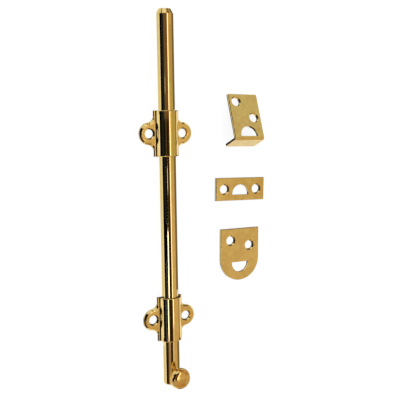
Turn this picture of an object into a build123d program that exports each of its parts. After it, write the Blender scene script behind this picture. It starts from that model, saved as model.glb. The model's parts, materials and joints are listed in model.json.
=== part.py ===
from build123d import *
import math
import os

# Half-round surface bolt with two guides and three loose strikes, in millimetres.
# The back of every guide and strike lies on Z = 0, which is the face of the door. +Y points along the rod
# towards its locking end, and the origin is midway between the upper guide's two screw holes.
# The bolt is drawn back at rest, and throws by sliding along +Y.

# Rod: a half-round bar, flat at the back, whose crown is a little flatter than a half circle
rod_length = 304.8
rod_width = 13.0
rod_depth = 8.2
rod_flattening = 0.5
rod_lift = 1.4
bevel_length = 4.0
bevel_depth = 2.0
bevel_side = 0.7
rod_ease = 0.3
tail_round = 1.4

# Travel, stops and fits
throw = 25.0
stop_gap = 0.3
slide_clearance = 0.1
fixed_clearance = 0.05

# Guides
guide_pitch = 152.0
guide_length = 36.6
guide_side_wall = 2.6
guide_front_wall = 1.6
guide_flattening = 0.3
guide_end_ease = 0.8
flange_width = 1.4
base_thickness = 2.6
base_edge_bevel = 1.7
base_edge_ease = 1.2
ear_length = 12.75
ear_radius = 9.0
ear_root_radius = 5.5
screw_offset = 5.55

# Screw holes, the same in the guides and the strikes
screw_hole = 7.2
screw_head = 9.0

# Friction springs behind the rod
spring_length = 23.0
spring_width = 8.0
spring_gauge = 0.3
spring_crest = 5.0
spring_foot = 2.5
spring_bend = 8.0
spring_gap = 0.3

# Knob, its screw and the stop pin
knob_inset = 8.9
knob_diameter = 17.0
knob_edge = 5.2
knob_dome = 1.0
knob_underside = 8.0
knob_lower_round = 0.9
knob_upper_round = 3.9
neck_diameter = 6.0
neck_height = 2.4
neck_flare = 2.2
bolt_screw = 3.5
bolt_screw_head = 6.4
bolt_screw_reach = 7.0
bolt_screw_spare = 1.0
slot_width = 0.8
slot_depth = 0.6
pin_diameter = 3.0
pin_depth = 4.0
pin_ease = 0.3
pin_door_gap = 0.3

# Strikes
strike_thickness = 2.2
strike_ease = 0.8
strike_side_clearance = 1.5
strike_front_clearance = 0.6
strikes_offset = 69.1

# Angle strike, which lies tipped on its flange
angle_width = 28.5
angle_length = 40.8
angle_flange = 17.2
angle_bend = 0.6
angle_corner = 1.0
angle_hole_to_fold = 3.2
angle_hole_across = 14.6
angle_hole_along = 14.3
angle_first_hole = 6.8
angle_top = 30.8
angle_shift = 2.3
angle_turn = -1.5

# Flat strike
flat_length = 47.8
flat_width = 19.5
flat_screw_spacing = 31.6
flat_edge_to_hole = 4.9
flat_gap = 25.8
flat_turn = -1.8

# Round strike
round_width = 38.0
round_length = 45.3
round_hole_across = 18.6
round_hole_along = 4.9
round_first_hole = 10.2
round_edge_to_hole = 29.2
round_gap = 24.3
round_shift = -0.6
round_turn = -0.9

# The share of a wall that a rounded edge may take, the length of bevel that rounding its 45 degree edges takes
# as a share of their radius, and how near two measures count as one
largest_round = 0.9
half_bevel_slope = math.tan(math.pi / 8)
tolerance = 0.01

# Sizes that follow from the ones above
rod_crown = rod_lift + rod_depth
rod_arc = rod_width / 2 + rod_flattening
housing_reach = rod_width / 2 + slide_clearance + guide_side_wall
housing_height = rod_crown + slide_clearance + guide_front_wall
flange_reach = housing_reach + flange_width
ear_centre = flange_reach + ear_length - ear_radius
screw_spacing = 2 * (housing_reach + screw_offset)
lower_guide_y = -guide_pitch
lower_guide_bottom = lower_guide_y - guide_length / 2
lower_guide_top = lower_guide_y + guide_length / 2
knob_radius = knob_diameter / 2
neck_radius = neck_diameter / 2
knob_y = lower_guide_bottom - stop_gap - throw - neck_radius
rod_bottom = knob_y - knob_inset
rod_top = rod_bottom + rod_length
pin_y = lower_guide_top + stop_gap + pin_diameter / 2
strike_hole_width = rod_width + 2 * strike_side_clearance
strike_hole_depth = rod_depth + strike_front_clearance
strike_cut = -2 * strike_thickness

os.makedirs("parts", exist_ok=True)


def half_round(width, depth, flattening=0.0):
    """A D: a flat along X, two straight sides up from it, and an arc over them up to the depth.

    The arc's radius is half of the width plus the flattening, so that with none it is a half circle.
    """
    arc = width / 2 + flattening
    side = depth - arc + math.sqrt(arc**2 - (width / 2) ** 2)
    with BuildSketch() as profile:
        with BuildLine():
            flat = Line((-width / 2, 0), (width / 2, 0))
            right = Line(flat @ 1, (width / 2, side))
            ThreePointArc(right @ 1, (0, depth), (-width / 2, side))
            Line((-width / 2, side), flat @ 0)
        make_face()
    return profile.sketch


def section_plane(y):
    """The upright plane across the rod at y, with its own X along +X and its own Y up."""
    return Plane(origin=(0, y, 0), x_dir=(1, 0, 0), z_dir=(0, -1, 0))


def strike_plane(x, y, turn, tilt=0.0):
    """A plane through (x, y, 0), turned about Z and then tipped about its own X so that its -Y rises."""
    across = (math.cos(turn), math.sin(turn), 0)
    normal = (-math.sin(turn) * math.sin(tilt), math.cos(turn) * math.sin(tilt), math.cos(tilt))
    return Plane(origin=(x, y, 0), x_dir=across, z_dir=normal)


def cut_screw_holes(front, places):
    """Countersunk screw holes right through the part under way, at places on the plane of its front face."""
    with Locations(front):
        with Locations(*places):
            CounterSinkHole(screw_hole / 2, screw_head / 2)


def rod_hole(front, flat_at, turn):
    """The half-round hole for the rod, with its flat at flat_at on the front plane, turned in degrees."""
    with BuildSketch(front) as hole:
        with Locations(Location((0, flat_at, 0), (0, 0, turn))):
            add(half_round(strike_hole_width, strike_hole_depth))
    return hole.sketch


def guide_base(centre_y):
    """The guide's plate: an ear on each side, bevelled and eased in front, on a flat strip along the rod."""
    bevel = min(base_edge_bevel, largest_round * base_thickness)
    ease = min(base_edge_ease, largest_round * min(bevel, base_thickness - bevel) / half_bevel_slope)
    with BuildPart() as base:
        with BuildSketch(Plane((0, centre_y, 0))) as outline:
            Rectangle(2 * flange_reach, guide_length)
            with Locations((ear_centre, 0), (-ear_centre, 0)):
                Circle(ear_radius)
            on_flange = outline.vertices().filter_by(lambda v: abs(abs(v.X) - flange_reach) < tolerance)
            roots = on_flange.filter_by(lambda v: abs(v.Y) < guide_length / 2 - tolerance)
            fillet(roots, ear_root_radius)
        extrude(amount=base_thickness)
        rims = base.edges().group_by(Axis.Z)[-1].filter_by(Axis.X, reverse=True)
        chamfer(rims, bevel)
        level = base.edges().filter_by(lambda e: e.bounding_box().size.Z < tolerance < e.center().Z)
        fillet(level.filter_by(lambda e: abs(e.center().Y - centre_y) < guide_length / 2 - tolerance), ease)
        with BuildSketch(Plane((0, centre_y, 0))):
            Rectangle(2 * flange_reach, guide_length)
        extrude(amount=base_thickness)
    return base.part


def guide_housing(centre_y):
    """The half-round hump over the rod, before the tunnel is cut, with its two mouths eased."""
    with BuildPart() as housing:
        with BuildSketch(section_plane(centre_y)):
            add(half_round(2 * housing_reach, housing_height, guide_flattening))
        extrude(amount=guide_length / 2, both=True)
        mouths = housing.faces().filter_by(Axis.Y).edges()
        fillet(mouths.filter_by(lambda e: e.center().Z > tolerance), guide_end_ease)
    return housing.part


def make_guide(name, centre_y):
    """Cast guide: plate and housing in one, with the rod's tunnel, a spring window and two screw holes."""
    base = guide_base(centre_y)
    housing = guide_housing(centre_y)
    with BuildPart() as guide:
        add(base)
        add(housing)
        ear_front = Plane((0, centre_y, base_thickness))
        cut_screw_holes(ear_front, [(-screw_spacing / 2, 0), (screw_spacing / 2, 0)])
        with BuildSketch(section_plane(centre_y)):
            with Locations((0, rod_lift - slide_clearance)):
                tunnel_width = rod_width + 2 * slide_clearance
                add(half_round(tunnel_width, rod_depth + 2 * slide_clearance, rod_flattening))
        extrude(amount=guide_length, both=True, mode=Mode.SUBTRACT)
        with BuildSketch(Plane((0, centre_y, 0))):
            Rectangle(spring_width + 2 * spring_gap, spring_length + 2 * spring_gap)
        extrude(amount=rod_lift, mode=Mode.SUBTRACT)
    guide.part.label = name
    export_step(guide.part, f"parts/{name}.step")


def make_spring(name, centre_y):
    """Leaf spring: a strip with two feet on the door and a raised crest that bears on the rod's back."""
    low = spring_gauge / 2
    high = rod_lift - slide_clearance - spring_gauge / 2
    tip = spring_length / 2
    with BuildPart() as spring:
        with BuildSketch(Plane(origin=(0, centre_y, 0), x_dir=(0, 1, 0), z_dir=(1, 0, 0))):
            with BuildLine() as bow:
                FilletPolyline(
                    (-tip, low),
                    (spring_foot - tip, low),
                    (-spring_crest / 2, high),
                    (spring_crest / 2, high),
                    (tip - spring_foot, low),
                    (tip, low),
                    radius=spring_bend,
                )
            trace(bow.wires(), line_width=spring_gauge)
        extrude(amount=spring_width / 2, both=True)
    spring.part.label = name
    export_step(spring.part, f"parts/{name}.step")


# Rod: bevelled at its locking end, deepest on its crown, with the knob's seat and screw hole and a hole
# for the stop pin
seat_drop = rod_arc - math.sqrt(rod_arc**2 - neck_radius**2) + fixed_clearance
seat_z = rod_crown - seat_drop
with BuildPart() as bolt_rod:
    with BuildSketch(section_plane(rod_top)):
        with Locations((0, rod_lift)):
            add(half_round(rod_width, rod_depth, rod_flattening))
    extrude(amount=rod_length)
    chamfer(bolt_rod.edges().filter_by(Axis.Y).group_by(Axis.Z)[0], rod_ease)
    locking_end = bolt_rod.faces().sort_by(Axis.Y)[-1]
    chamfer(locking_end.edges().filter_by(GeomType.CIRCLE), bevel_depth, bevel_length, reference=locking_end)
    with BuildSketch(Plane((0, rod_top, rod_lift))):
        side = rod_width / 2
        Polygon((side, 0), (side - bevel_side, 0), (side, -bevel_length), align=None)
        mirror(about=Plane.YZ)
    extrude(amount=rod_depth, mode=Mode.SUBTRACT)
    tail_edges = bolt_rod.faces().sort_by(Axis.Y)[0].edges()
    fillet(tail_edges.filter_by(lambda e: e.center().Z > rod_lift + rod_ease), tail_round)
    with BuildSketch(Plane((0, knob_y, seat_z))):
        Circle(neck_radius + fixed_clearance)
    extrude(amount=rod_depth, mode=Mode.SUBTRACT)
    with Locations(Plane(origin=(0, knob_y, rod_lift), z_dir=(0, 0, -1))):
        CounterSinkHole(bolt_screw / 2 + fixed_clearance, bolt_screw_head / 2 + fixed_clearance)
    with Locations(Plane(origin=(0, pin_y, rod_lift), z_dir=(0, 0, -1))):
        Hole(pin_diameter / 2 + fixed_clearance, depth=pin_depth + fixed_clearance)
bolt_rod.part.label = "bolt_rod"
export_step(bolt_rod.part, "parts/bolt_rod.step")

# Knob: a turned button with a rounded edge and a domed face, on a neck that stands in the rod's seat
underside_z = rod_crown + knob_underside
edge_z = underside_z + knob_edge
with BuildPart() as knob:
    with BuildSketch(section_plane(knob_y)):
        with BuildLine():
            foot = Line((0, seat_z), (neck_radius, seat_z))
            neck = Line(foot @ 1, (neck_radius, rod_crown + neck_height))
            flare_end = (neck_radius + neck_flare, underside_z - knob_lower_round)
            flare = TangentArc(neck @ 1, flare_end, tangent=neck % 1)
            under = Line(flare @ 1, (knob_radius, underside_z))
            edge = Line(under @ 1, (knob_radius, edge_z))
            dome = TangentArc((0, edge_z + knob_dome), edge @ 1, tangent=(1, 0))
            Line(dome @ 0, foot @ 0)
        make_face()
    revolve(axis=Axis((0, knob_y, 0), (0, 0, 1)))
    circles = knob.edges().filter_by(GeomType.CIRCLE)
    rims = circles.filter_by(lambda e: e.radius > knob_radius - tolerance).sort_by(Axis.Z)
    fillet(rims[0], knob_lower_round)
    fillet(knob.edges().filter_by(lambda e: abs(e.center().Z - edge_z) < tolerance), knob_upper_round)
    with Locations(Plane(origin=(0, knob_y, seat_z), z_dir=(0, 0, -1))):
        Hole(bolt_screw / 2 + fixed_clearance, depth=bolt_screw_reach + bolt_screw_spare)
knob.part.label = "knob"
export_step(knob.part, "parts/knob.step")

# Knob screw: countersunk and slotted, from behind the rod into the neck
head_z = rod_lift + fixed_clearance
with BuildPart() as knob_screw:
    with BuildSketch(section_plane(knob_y)):
        with BuildLine():
            Polyline(
                (0, head_z),
                (bolt_screw_head / 2, head_z),
                (bolt_screw / 2, head_z + (bolt_screw_head - bolt_screw) / 2),
                (bolt_screw / 2, seat_z + bolt_screw_reach),
                (0, seat_z + bolt_screw_reach),
                close=True,
            )
        make_face()
    revolve(axis=Axis((0, knob_y, 0), (0, 0, 1)))
    with BuildSketch(Plane((0, knob_y, head_z))):
        Rectangle(slot_width, bolt_screw_head)
    extrude(amount=slot_depth, mode=Mode.SUBTRACT)
knob_screw.part.label = "knob_screw"
export_step(knob_screw.part, "parts/knob_screw.step")

# Stop pin: stands out of the rod's back, above the lower guide
with BuildPart() as stop_pin:
    with BuildSketch(Plane((0, pin_y, pin_door_gap))):
        Circle(pin_diameter / 2)
    extrude(amount=rod_lift + pin_depth - pin_door_gap)
    chamfer(stop_pin.edges().group_by(Axis.Z)[0], pin_ease)
stop_pin.part.label = "stop_pin"
export_step(stop_pin.part, "parts/stop_pin.step")

make_guide("upper_guide", 0)
make_guide("lower_guide", lower_guide_y)
make_spring("upper_spring", 0)
make_spring("lower_spring", lower_guide_y)

# Angle strike: rests on its top edge and on the foot of its flange, so that its plate slopes
angle_tilt = math.atan((angle_flange - strike_thickness) / (angle_length - strike_thickness))
angle_plane = strike_plane(strikes_offset + angle_shift, angle_top, math.radians(angle_turn), angle_tilt)
angle_side = Plane(origin=angle_plane.origin, x_dir=angle_plane.y_dir, z_dir=angle_plane.x_dir)
angle_front = angle_plane.offset(strike_thickness)
up_slope = Axis(angle_plane.origin, angle_plane.y_dir)
out_of_plate = Axis(angle_plane.origin, angle_plane.z_dir)
fold = -angle_length
flange_foot = strike_thickness - angle_flange
first_hole = (-angle_hole_across / 2, -angle_first_hole)
second_hole = (angle_hole_across / 2, -angle_first_hole - angle_hole_along)
with BuildPart() as angle_strike:
    with BuildSketch(angle_side) as bent_plate:
        with BuildLine():
            Polyline(
                (0, 0),
                (0, strike_thickness),
                (fold, strike_thickness),
                (fold, flange_foot),
                (fold + strike_thickness, flange_foot),
                (fold + strike_thickness, 0),
                close=True,
            )
        make_face()
        outer_corner = bent_plate.vertices().sort_by_distance((fold, strike_thickness))[0]
        fillet(outer_corner, strike_thickness + angle_bend)
        inner_corner = bent_plate.vertices().sort_by_distance((fold + strike_thickness, 0))[0]
        fillet(inner_corner, angle_bend)
    extrude(amount=angle_width / 2, both=True)
    fillet(angle_strike.edges().filter_by(out_of_plate).group_by(up_slope)[-1], angle_corner)
    front_face = angle_strike.faces().sort_by(out_of_plate)[-1]
    fillet(front_face.edges().sort_by(up_slope)[1:], strike_ease)
    cut_screw_holes(angle_front, [first_hole, second_hole])
    extrude(rod_hole(angle_front, fold + angle_hole_to_fold, 0), amount=strike_cut, mode=Mode.SUBTRACT)
angle_strike.part.label = "angle_strike"
export_step(angle_strike.part, "parts/angle_strike.step")

# Flat strike: a bar with the rod's hole between its two screw holes
angle_reach = angle_length * math.cos(angle_tilt) + angle_flange * math.sin(angle_tilt)
flat_y = angle_top - angle_reach - flat_gap - flat_width / 2
flat_plane = strike_plane(strikes_offset, flat_y, math.radians(flat_turn))
flat_front = flat_plane.offset(strike_thickness)
with BuildPart() as flat_strike:
    with BuildSketch(flat_plane):
        Rectangle(flat_length, flat_width)
    extrude(amount=strike_thickness)
    fillet(flat_strike.faces().sort_by(Axis.Z)[-1].edges(), strike_ease)
    cut_screw_holes(flat_front, [(-flat_screw_spacing / 2, 0), (flat_screw_spacing / 2, 0)])
    flat_at = flat_edge_to_hole - flat_width / 2
    extrude(rod_hole(flat_front, flat_at, 0), amount=strike_cut, mode=Mode.SUBTRACT)
flat_strike.part.label = "flat_strike"
export_step(flat_strike.part, "parts/flat_strike.step")

# Round strike: square at its top, half round at its foot, with the rod's hole near the round end
round_top = flat_y - flat_width / 2 - round_gap
round_plane = strike_plane(strikes_offset + round_shift, round_top, math.radians(round_turn))
round_front = round_plane.offset(strike_thickness)
left_hole = (-round_hole_across / 2, -round_first_hole)
right_hole = (round_hole_across / 2, -round_first_hole - round_hole_along)
with BuildPart() as round_strike:
    with BuildSketch(round_plane):
        with Locations(Location((0, 0, 0), (0, 0, 180))):
            add(half_round(round_width, round_length))
    extrude(amount=strike_thickness)
    fillet(round_strike.faces().sort_by(Axis.Z)[-1].edges(), strike_ease)
    cut_screw_holes(round_front, [left_hole, right_hole])
    extrude(rod_hole(round_front, -round_edge_to_hole, 180), amount=strike_cut, mode=Mode.SUBTRACT)
round_strike.part.label = "round_strike"
export_step(round_strike.part, "parts/round_strike.step")
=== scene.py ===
import json
import math

import bpy
import numpy as np
from mathutils import Matrix, Vector

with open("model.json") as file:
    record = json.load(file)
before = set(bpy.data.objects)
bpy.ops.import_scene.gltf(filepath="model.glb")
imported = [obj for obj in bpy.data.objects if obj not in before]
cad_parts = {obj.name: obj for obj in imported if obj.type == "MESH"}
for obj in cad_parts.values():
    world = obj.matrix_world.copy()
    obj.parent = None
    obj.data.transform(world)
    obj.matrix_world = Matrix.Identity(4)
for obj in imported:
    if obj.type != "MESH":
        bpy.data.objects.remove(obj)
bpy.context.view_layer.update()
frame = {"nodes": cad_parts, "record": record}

mm = 0.001

# The camera stands above the bolt and to its left, and looks down at the gap between guides and strikes
camera_place = Vector((-236.9, 12.2, 503.3)) * mm
camera_target = Vector((30.8, -56.1, 0.0)) * mm
camera_roll = math.radians(-0.8)
camera_lens = 61.84

# The surround is far enough away for every part of the bolt to mirror it in the same directions
surround_radius = 12.0
surround_step = 0.04
surround_points = 25

# Where the rows of low cards beside the bolt begin and end, along it
row_start = -400 * mm
row_end = 300 * mm

# The table lies a hair below the part. Most of what the camera sees of it is its own glow
floor_drop = 0.05 * mm
table_glow_share = 0.85
table_glow = 1.04

# The thickness of the strikes, and how far down their walls the buffing wheel reaches, below which a painted
# contact shadow darkens their foot
plate_gauge = 2.2 * mm
foot_shadow_depth = 1.1 * mm

# How gently the wheel's reach ends and the painted shade begins: over a share of that depth, and over a span
# of the cosine on walls that lean away from it
depth_blur = 0.2
edge_blur = 0.1

# The cosines to X between which a wall comes to face along it, and the cosines to the nearest polished face
# between which a surface stops being a wall
sideways_range = (0.3, 0.5)
wall_range = (0.5, 0.7)

# An inner corner's shade: how far it looks for what closes it in, and with how many rays
corner_reach = 8 * mm
corner_rays = 16

# The values that nearly all of a noise texture lies between
noise_low = 0.3
noise_high = 0.7

# The span of a drift in colour, where its darker tone lies between the unpolished metal at 0, whose dark
# colour is partly painted shade, and the lighter tone at 1, and how rough unpolished brass is
drift_size = 5 * mm
darker_level = 0.5
unpolished_roughness = 0.5


def linear(colour):
    """The linear red, green, blue and alpha of an sRGB hex colour."""
    levels = np.array([int(colour[place:place + 2], 16) for place in (1, 3, 5)]) / 255
    curved = np.where(levels <= 0.04045, levels / 12.92, ((levels + 0.055) / 1.055) ** 2.4)
    return (*curved.tolist(), 1.0)


def add(tree, kind, inputs=None, stops=None, **settings):
    """Adds a node: its settings, then its inputs, each a socket to link or a value, then a ramp's stops."""
    made = tree.nodes.new(kind)
    for name, value in settings.items():
        setattr(made, name, value)
    for name, value in (inputs or {}).items():
        if isinstance(value, bpy.types.NodeSocket):
            tree.links.new(value, made.inputs[name])
        else:
            made.inputs[name].default_value = value
    for place, (position, colour) in enumerate(stops or []):
        stop = made.color_ramp.elements[place] if place < 2 else made.color_ramp.elements.new(position)
        stop.position = position
        stop.color = linear(colour)
    return made


def new_material(name):
    """An empty material and its node tree."""
    material = bpy.data.materials.new(name)
    material.use_nodes = True
    material.node_tree.nodes.clear()
    return material, material.node_tree


def surface(name, points, material):
    """A mesh over a grid of points, given as rows, columns and X, Y, Z in metres: four corners to a face."""
    rows, columns = points.shape[:2]
    corner = (np.arange(rows - 1)[:, None] * columns + np.arange(columns - 1)).ravel()
    faces = np.stack([corner, corner + 1, corner + columns + 1, corner + columns], axis=1)
    mesh = bpy.data.meshes.new(name)
    mesh.from_pydata(points.reshape(-1, 3).tolist(), [], faces.tolist())
    mesh.materials.append(material)
    made = bpy.data.objects.new(name, mesh)
    bpy.context.scene.collection.objects.link(made)
    return made


def shade_and_unbuffed_mask(tree, place, faces, edge, front, corners):
    """A mask of unbuffed brass, painted dark: 1 there, and 0 where the wheel polishes. Its dark colour is
    partly the unpolished metal's and partly painted shade.

    It covers each wall that leans from all of the polished faces by more than the edge, which is a cosine.
    With front given, a point on the front face and the way out of it, the wheel still reaches the top of the
    walls that face along X, and below that their foot gets a painted contact shadow. With corners given, the
    shares of open space that count as closed in and as free, it also darkens the walls that are closed in:
    painted shade in inner corners and holes.
    """
    normal = add(tree, "ShaderNodeTexCoord").outputs["Normal"]
    facing = [
        add(tree, "ShaderNodeVectorMath", {0: normal, 1: face}, operation="DOT_PRODUCT").outputs["Value"]
        for face in faces]
    nearest = facing[0]
    for other in facing[1:]:
        nearest = add(tree, "ShaderNodeMath", {0: nearest, 1: other}, operation="MAXIMUM").outputs[0]
    unbuffed_and_shaded = add(tree, "ShaderNodeMapRange", {
        "Value": nearest, "From Min": edge - edge_blur, "From Max": edge, "To Min": 1.0, "To Max": 0.0})
    if front:
        point, outwards = front
        away = add(tree, "ShaderNodeVectorMath", {0: point, 1: place}, operation="SUBTRACT")
        depth = add(tree, "ShaderNodeVectorMath", {0: away.outputs[0], 1: outwards}, operation="DOT_PRODUCT")
        # Painted contact shadow: walls that face along X go dark below that depth from the front face, at
        # their foot
        deep = add(tree, "ShaderNodeMapRange", {
            "Value": depth.outputs["Value"], "From Min": (1 - depth_blur) * foot_shadow_depth,
            "From Max": (1 + depth_blur) * foot_shadow_depth})
        across = add(tree, "ShaderNodeVectorMath", {0: normal, 1: (1, 0, 0)}, operation="DOT_PRODUCT")
        sideways = add(tree, "ShaderNodeMath", {0: across.outputs["Value"]}, operation="ABSOLUTE")
        least, most = sideways_range
        end = add(tree, "ShaderNodeMapRange", {
            "Value": sideways.outputs[0], "From Min": least, "From Max": most, "To Min": 1.0, "To Max": 0.0})
        rough_and_shaded = add(tree, "ShaderNodeMath", {0: deep.outputs[0], 1: end.outputs[0]}, operation="MAXIMUM")
        unbuffed_and_shaded = add(
            tree, "ShaderNodeMath", {0: unbuffed_and_shaded.outputs[0], 1: rough_and_shaded.outputs[0]}, operation="MULTIPLY")
    if corners:
        closed, free = corners
        # Painted shade: walls closed in by the part itself, such as inner corners and holes, are darkened as
        # if shaded
        light = add(tree, "ShaderNodeAmbientOcclusion", {"Distance": corner_reach}, samples=corner_rays,
                    only_local=True)
        shade = add(tree, "ShaderNodeMapRange", {
            "Value": light.outputs["AO"], "From Min": closed, "From Max": free, "To Min": 1.0, "To Max": 0.0})
        least, most = wall_range
        steep = add(tree, "ShaderNodeMapRange", {
            "Value": nearest, "From Min": least, "From Max": most, "To Min": 1.0, "To Max": 0.0})
        corner = add(
            tree, "ShaderNodeMath", {0: shade.outputs[0], 1: steep.outputs[0]}, operation="MULTIPLY")
        unbuffed_and_shaded = add(
            tree, "ShaderNodeMath", {0: unbuffed_and_shaded.outputs[0], 1: corner.outputs[0]}, operation="MAXIMUM")
    return unbuffed_and_shaded.outputs[0]


def polished_brass(name, colours, gloss, waves, grain, faces=(), edge=0.0, front=None, corners=None):
    """Brass whose colour drifts between two tones, and whose roughness drifts between the two of gloss.

    Colours are those of the unpolished metal, whose dark colour is partly painted shade, the darker tone and
    the lighter one. The waves are the shallow unevenness that polishing leaves: their spacing across X, Y and
    Z and their height. The grain is the spacing of the polishing marks across X, Y and Z. With faces given,
    what the wheel misses there stays dark and rough, and that dark is partly painted shade.
    """
    material, tree = new_material(name)
    place = add(tree, "ShaderNodeTexCoord").outputs["Object"]
    drift = add(tree, "ShaderNodeTexNoise", {"Vector": place, "Scale": 1 / drift_size, "Detail": 3.0})
    level = add(tree, "ShaderNodeMapRange", {
        "Value": drift.outputs["Fac"], "From Min": noise_low, "From Max": noise_high,
        "To Min": darker_level})
    marks_place = add(tree, "ShaderNodeMapping", {"Vector": place, "Scale": [1 / size for size in grain]})
    marks = add(tree, "ShaderNodeTexNoise", {
        "Vector": marks_place.outputs["Vector"], "Scale": 1.0, "Detail": 2.0})
    smoothest, roughest = gloss
    roughness = add(tree, "ShaderNodeMapRange", {
        "Value": marks.outputs["Fac"], "From Min": noise_low, "From Max": noise_high,
        "To Min": smoothest, "To Max": roughest})
    if faces:
        unbuffed_and_shaded = shade_and_unbuffed_mask(tree, place, faces, edge, front, corners)
        polished = add(tree, "ShaderNodeMath", {0: 1.0, 1: unbuffed_and_shaded}, operation="SUBTRACT")
        level = add(
            tree, "ShaderNodeMath", {0: level.outputs[0], 1: polished.outputs[0]}, operation="MULTIPLY")
        rough_and_shaded = add(tree, "ShaderNodeMath", {0: unbuffed_and_shaded, 1: unpolished_roughness}, operation="MULTIPLY")
        roughness = add(
            tree, "ShaderNodeMath", {0: roughness.outputs[0], 1: rough_and_shaded.outputs[0]}, operation="MAXIMUM")
    bare_and_shade, darker, lighter = colours
    colour = add(tree, "ShaderNodeValToRGB", {"Fac": level.outputs[0]}, [
        (0.0, bare_and_shade), (darker_level, darker), (1.0, lighter)])
    *spacing, height = waves
    waves_place = add(tree, "ShaderNodeMapping", {"Vector": place, "Scale": [1 / size for size in spacing]})
    uneven = add(tree, "ShaderNodeTexNoise", {
        "Vector": waves_place.outputs["Vector"], "Scale": 1.0, "Detail": 1.0})
    bump = add(tree, "ShaderNodeBump", {
        "Height": uneven.outputs["Fac"], "Distance": height, "Strength": 1.0})
    brass = add(tree, "ShaderNodeBsdfPrincipled", {
        "Base Color": colour.outputs["Color"], "Metallic": 1.0, "Roughness": roughness.outputs[0],
        "Normal": bump.outputs["Normal"]})
    add(tree, "ShaderNodeOutputMaterial", {"Surface": brass.outputs["BSDF"]})
    return material


# Polished drawn brass, lacquered: drawn through a die and buffed lengthwise, so it mirrors the room in long
# straight bands, almost without ripples, and its faint marks run along the rod
rod_brass = polished_brass(
    "polished_drawn_brass", ("#6A4A20", "#EDD08A", "#F4DA94"), (0.03, 0.06),
    (5 * mm, 60 * mm, 5 * mm, 0.004 * mm), (0.8 * mm, 40 * mm, 0.8 * mm))

# Buffed cast brass, lacquered: the wheel leaves gentle hollows and hills along the casting, so its bands
# waver a little, and it misses the ends, the foot of the housing and the inner corners, which stay rough and
# are painted dark as shade
guide_edge = 0.2
guide_corner_shade = (0.56, 0.7)
guide_brass = polished_brass(
    "buffed_cast_brass", ("#2E1E0C", "#E8C87C", "#F2D68E"), (0.03, 0.07),
    (5 * mm, 24 * mm, 5 * mm, 0.014 * mm), (1.5 * mm, 12 * mm, 1.5 * mm),
    faces=[(0, 0, 1)], edge=guide_edge, corners=guide_corner_shade)

# Polished rolled sheet brass, lacquered: cut by a press and buffed flat, so its front is a nearly even
# mirror with a faint drift of colour. The wheel rounds the front edges, while the rest of the sheared walls,
# the holes and the back stay rough, and their dark colour is partly painted shade: a contact shadow at the
# foot of the walls and shade in the holes
sheet_colours = ("#2E1E0C", "#E8C984", "#F4E097")
sheet_gloss = (0.1, 0.16)
sheet_waves = (6 * mm, 6 * mm, 6 * mm, 0.008 * mm)
sheet_grain = (2 * mm, 8 * mm, 2 * mm)
sheet_edge = 0.6
sheet_corner_shade = (0.76, 0.84)
sheet_brass = polished_brass(
    "polished_sheet_brass", sheet_colours, sheet_gloss, sheet_waves, sheet_grain,
    faces=[(0, 0, 1)], edge=sheet_edge, front=((0, 0, plate_gauge), (0, 0, 1)), corners=sheet_corner_shade)

# The same sheet, bent: its front and the outside of its flange are both polished
screws = next(entry for entry in frame["record"]["mounts"] if entry["name"] == "angle_strike_screws")
plate_out = Vector(screws["axis"])
plate_front = Vector(screws["pos_m"]) + plate_out * plate_gauge
flange_out = Vector((1, 0, 0)).cross(plate_out)
bent_brass = polished_brass(
    "polished_bent_sheet_brass", sheet_colours, sheet_gloss, sheet_waves, sheet_grain,
    faces=[plate_out, flange_out], edge=sheet_edge, front=(plate_front, plate_out),
    corners=sheet_corner_shade)

# Polished turned brass, lacquered: turned in a lathe and polished by hand, which leaves soft ripples and a
# warmer, uneven colour where the lacquer lies thicker
turned_brass = polished_brass(
    "polished_turned_brass", ("#6A4A20", "#DAA250", "#F2D88E"), (0.06, 0.11),
    (3 * mm, 3 * mm, 3 * mm, 0.016 * mm), (2 * mm, 2 * mm, 2 * mm))

# Rolled phosphor bronze strip, as rolled: redder than brass and satin, with rolling marks across the springs
spring_bronze = polished_brass(
    "rolled_phosphor_bronze", ("#4A3018", "#C08A5C", "#D9A878"), (0.24, 0.32),
    (6 * mm, 6 * mm, 6 * mm, 0.004 * mm), (3 * mm, 0.8 * mm, 3 * mm))

finishes = {
    "rod_brass": rod_brass,
    "guide_brass": guide_brass,
    "strike_brass": sheet_brass,
    "turned_brass": turned_brass,
    "spring_bronze": spring_bronze,
}
for subpart in frame["record"]["subparts"]:
    mesh = frame["nodes"][subpart["node"]].data
    mesh.materials.clear()
    mesh.materials.append(
        bent_brass if subpart["node"] == "angle_strike" else finishes[subpart["material_slot"]])


def glowing_card(name, points, colour, strength):
    """A glowing surface over a grid of points, which only the bolt's reflections show."""
    material, tree = new_material(name)
    glow = add(tree, "ShaderNodeEmission", {"Color": linear(colour), "Strength": strength})
    add(tree, "ShaderNodeOutputMaterial", {"Surface": glow.outputs["Emission"]})
    material.cycles.emission_sampling = "NONE"
    card = surface(name, points, material)
    card.visible_camera = False
    card.visible_diffuse = False
    card.visible_shadow = False


def surround_card(name, order, across, along, colour, strength):
    """A glowing card on a large sphere round the bolt, nearer than the cards before it in order.

    A place on it is given by two angles in degrees. Across goes over the rod, from 0 at the left horizon
    through 90 overhead to 180 at the right one, and along leans from that arch towards +Y.
    """
    over = np.radians(np.linspace(*across, surround_points))[:, None]
    lean = np.radians(np.linspace(*along, surround_points))[None, :]
    directions = np.stack([
        -np.cos(over) * np.cos(lean), np.sin(lean) * np.ones_like(over), np.sin(over) * np.cos(lean)], 2)
    glowing_card(name, directions * (surround_radius - order * surround_step), colour, strength)


def low_card(name, profile, ends, colour):
    """A card beside the bolt between two places along it: its profile is the X and Z of each of its bends."""
    across, along = np.meshgrid([x for x, z in profile], ends)
    heights = np.broadcast_to([z for x, z in profile], across.shape)
    glowing_card(name, np.stack([across, along, heights], 2), colour, 1.0)


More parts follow.
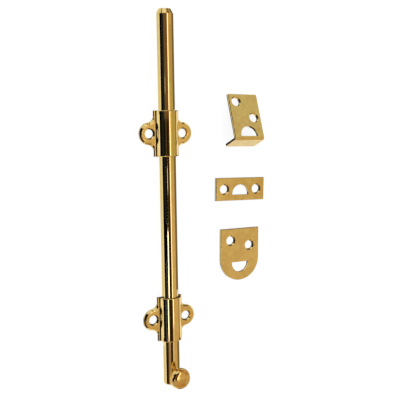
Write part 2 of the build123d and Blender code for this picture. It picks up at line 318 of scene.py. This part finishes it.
def low_cards(name, profile, lower_gap, upper_gap, colour):
    """The same low card along the whole bolt, apart from a gap for the lower guide and one for the upper."""
    low_card(f"far_{name}", profile, (upper_gap[1], row_end), colour)
    low_card(f"middle_{name}", profile, (lower_gap[1], upper_gap[0]), colour)
    low_card(f"near_{name}", profile, (row_start, lower_gap[0]), colour)


# The room that the brass mirrors, from its farthest card to its nearest, with each one's spans across and
# along, its colour and its strength. The dark and brown ones left of the top make the bands on the left and
# the crown of the rod, the windows the pale lines beside them, and the strip lights the line down its right
# side. The ceilings colour that side and the strikes, and the ends are what the knob and the bevels show
cards = [
    ("black_drape", (0, 60), (-24, 24), "#070403", 1.0),
    ("grey_drape", (20, 44), (-9, 24), "#22272E", 1.0),
    ("far_grey_wall", (46, 58), (0, 24), "#5B5A56", 1.0),
    ("near_grey_wall", (51, 58), (-24, 0), "#191E20", 1.0),
    ("far_brown_wall", (58, 70), (0, 24), "#7C624C", 1.0),
    ("near_brown_wall", (58, 70), (-24, 0), "#4A443E", 1.0),
    ("far_shelf", (70, 84), (0, 24), "#744E30", 1.0),
    ("near_shelf", (70, 84), (-24, 0), "#2E160A", 1.0),
    ("far_beam", (84, 98), (0, 24), "#8C6844", 1.0),
    ("near_beam", (84, 98), (-24, 0), "#4E3820", 1.0),
    ("small_window", (59, 67), (-6.4, -4.2), "#FFF4E8", 1.6),
    ("far_pane", (50, 57), (2.2, 3.6), "#E8E6E4", 0.7),
    ("warm_ceiling", (107, 166), (-90, 24), "#CFB68F", 1.0),
    ("middle_ceiling", (107, 166), (-19, -8.2), "#D1B995", 1.0),
    ("near_ceiling", (107, 166), (-18, -9.4), "#D4BD9B", 1.0),
    ("olive_ceiling", (122, 160), (-4.5, 3.2), "#C0B47C", 1.0),
    ("brown_ceiling", (118, 160), (3.2, 8), "#BAA57E", 1.0),
    ("right_wall", (166, 180), (-90, 24), "#7A6848", 1.0),
    ("near_haze", (34, 62), (-24, -18.9), "#9F8E80", 1.0),
    ("near_end", (40, 180), (-90, -22), "#C9B190", 1.0),
    ("near_corner", (16, 36), (-90, -19.3), "#4A3018", 1.0),
    ("low_grey_drape", (22, 42), (-19, -12.4), "#3C4460", 1.0),
    ("tall_window", (49.5, 56.5), (-18.9, -9.8), "#EEEAFF", 4.2),
    ("far_end_dark", (0, 96), (24, 44), "#070403", 1.0),
    ("far_end_left", (0, 100), (44, 90), "#FFFFFF", 0.9),
    ("far_end_right", (100, 180), (24, 90), "#CDC4AB", 1.0),
    ("far_corner", (118, 180), (46, 90), "#8A7048", 1.0),
    ("ceiling_edge", (107, 120), (-10, 24), "#DEC9A4", 1.0),
    ("strip_glow", (97.5, 108), (-18, 40), "#FFF4DC", 1.35),
    ("near_strip_light", (100, 104.5), (-18, -6), "#F6F0FF", 2.9),
    ("far_strip_light", (98.4, 103.2), (-6, 40), "#F6F0FF", 2.9),
]
for order, (name, across, along, colour, strength) in enumerate(cards):
    surround_card(name, order, across, along, colour, strength)

# Low cards beside the bolt. The board darkens the foot of the rod's left side, and the mats tone what the
# rod's sides and the angle strike's flange show of the table. The brown mat right of the bolt is a painted
# shadow of the bolt on the table, which only reflections show. Through their gaps the guides mirror the
# table itself. The gaps in the board lie lower, as the board is farther off and the view slants down along
# the bolt
lower_board_gap = (-192 * mm, -156 * mm)
upper_board_gap = (-22 * mm, 16 * mm)
lower_mat_gap = (-176 * mm, -134 * mm)
upper_mat_gap = (-19 * mm, 19 * mm)
flange_span = (-32 * mm, 0.0)
mat_height = -floor_drop / 2
black_board = [(-85 * mm, 0.0), (-85 * mm, 25 * mm)]
pale_mat = [(-40 * mm, mat_height), (-7 * mm, mat_height)]
# Painted shadow: this brown mat right of the bolt stands for the bolt's shadow on the table, seen only in
# reflections
table_shadow_mat = [(7 * mm, mat_height), (30 * mm, mat_height), (30 * mm, 10 * mm)]
cream_mat = [(55 * mm, mat_height), (110 * mm, mat_height)]
low_cards("black_board", black_board, lower_board_gap, upper_board_gap, "#070403")
low_cards("pale_mat", pale_mat, lower_mat_gap, upper_mat_gap, "#E6E4CE")
low_cards("table_shadow_mat", table_shadow_mat, lower_mat_gap, upper_mat_gap, "#7A6C50")
low_card("cream_mat", cream_mat, flange_span, "#EFE7DE")

# White table: mostly bright by itself, so that it stays white, with enough ordinary paint for a shadow
table_paint, tree = new_material("white_table")
path = add(tree, "ShaderNodeLightPath").outputs
seen = add(tree, "ShaderNodeMath", {0: path["Is Camera Ray"], 1: path["Is Glossy Ray"]}, operation="MAXIMUM")
shown = add(tree, "ShaderNodeMath", {0: seen.outputs[0], 1: path["Is Transmission Ray"]}, operation="MAXIMUM")
share = add(tree, "ShaderNodeMath", {0: shown.outputs[0], 1: table_glow_share}, operation="MULTIPLY")
paint = add(tree, "ShaderNodeBsdfDiffuse", {"Color": linear("#FFFFFF")})
glow = add(tree, "ShaderNodeEmission", {"Color": linear("#FFFFFF"), "Strength": table_glow})
mixed = add(tree, "ShaderNodeMixShader", {0: share.outputs[0], 1: paint.outputs[0], 2: glow.outputs[0]})
add(tree, "ShaderNodeOutputMaterial", {"Surface": mixed.outputs[0]})
table_paint.cycles.emission_sampling = "NONE"
side = np.array([-surround_radius, surround_radius])
table_x, table_y = np.meshgrid(side, side)
table = surface("table", np.stack([table_x, table_y, np.full((2, 2), -floor_drop)], 2), table_paint)

# Even white light from everywhere, which lights the table's paint and leaves a soft shadow on it
world = bpy.data.worlds.new("plain_light")
bpy.context.scene.world = world
world.use_nodes = True
background = world.node_tree.nodes["Background"]
background.inputs["Color"].default_value = linear("#FFFFFF")
background.inputs["Strength"].default_value = 1.0
world.cycles.sampling_method = "NONE"

# The camera's right side stays level with the table, apart from a small roll
back = (camera_place - camera_target).normalized()
level_right = Vector((0, 1, 0)).cross(back).normalized()
level_up = back.cross(level_right)
right = math.cos(camera_roll) * level_right + math.sin(camera_roll) * level_up
up = back.cross(right)
lens = bpy.data.cameras.new("camera")
lens.lens = camera_lens
lens.clip_start = 10 * mm
lens.clip_end = 4 * surround_radius
camera = bpy.data.objects.new("camera", lens)
camera.matrix_world = Matrix((right, up, back)).transposed().to_4x4()
camera.location = camera_place
bpy.context.scene.collection.objects.link(camera)
bpy.context.scene.camera = camera
bpy.context.scene.view_settings.view_transform = "Standard"
